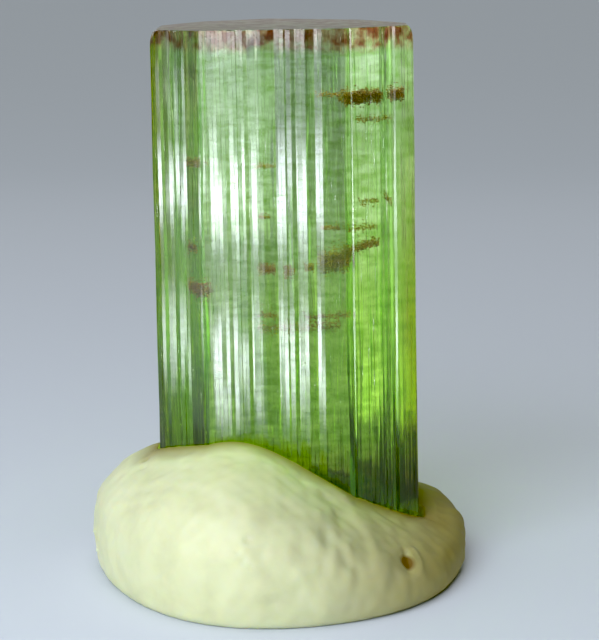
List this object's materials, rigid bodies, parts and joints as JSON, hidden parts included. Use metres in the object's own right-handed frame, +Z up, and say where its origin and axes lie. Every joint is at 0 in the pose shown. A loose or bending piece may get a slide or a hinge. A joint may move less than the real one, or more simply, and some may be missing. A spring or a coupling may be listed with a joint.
{
  "type": "tourmaline crystal",
  "caption": "Upright green tourmaline prism with striated sides, a flat top and a thin pink cap, held in a pressed lump of pale putty.",
  "frame": {"origin": "on the surface that the putty rests on, under the middle of the whole object's box", "axes": "+Z up along the crystal, +Y away from the viewer, +X to the viewer's right"},
  "size_m": [0.0096, 0.0098, 0.0136],
  "materials": {
    "tourmaline": "clear green crystal, bright natural faces with fine lengthwise striations, thin pink cap at the top",
    "putty": "matt pale cream putty, pressed by hand, with fingerprint ridges"
  },
  "bodies": {
    "root": {"tourmaline_crystal": "tourmaline", "putty_lump": "putty"}
  },
  "joints": []
}
